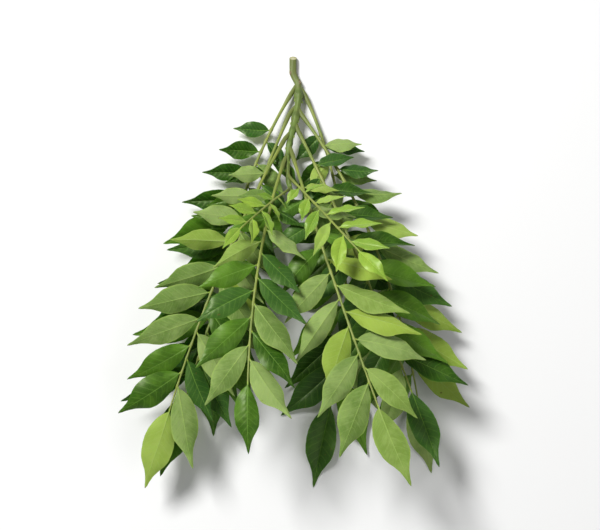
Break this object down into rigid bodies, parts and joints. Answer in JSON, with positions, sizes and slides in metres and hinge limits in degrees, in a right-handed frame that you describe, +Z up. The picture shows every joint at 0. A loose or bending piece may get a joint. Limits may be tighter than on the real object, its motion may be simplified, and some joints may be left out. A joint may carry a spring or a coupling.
{
  "type": "curry leaf sprig",
  "caption": "Cut curry leaf sprig lying down: a green stem with pinnate fronds of pointed leaflets fanned out from it and small young fronds at its tip.",
  "frame": {"origin": "on the resting surface under the stem's cut end, in the middle of the flat strip on which it lies", "axes": "+Z up; the stem runs from the cut end along -Y and the fronds fan out towards -Y, left and right along X"},
  "size_m": [0.2152, 0.2748, 0.0813],
  "materials": {
    "stem_bark": "smooth green young bark with pale pores, brownish towards the cut end",
    "leaf_upper_side": "dark green glossy upper side of a fresh leaf, with a lighter midrib",
    "leaf_under_side": "pale green matte under side of a fresh leaf, with a raised midrib",
    "young_leaf": "soft yellow-green young leaf, slightly glossy"
  },
  "bodies": {
    "root": {"stem": "stem_bark", "frond_1": "leaf_upper_side", "frond_2": "leaf_upper_side", "frond_3": "leaf_under_side", "frond_4": "leaf_upper_side", "frond_5": "leaf_upper_side", "frond_6": "leaf_under_side", "frond_7": "leaf_under_side", "frond_8": "leaf_under_side", "frond_9": "young_leaf", "frond_10": "young_leaf"}
  },
  "joints": []
}
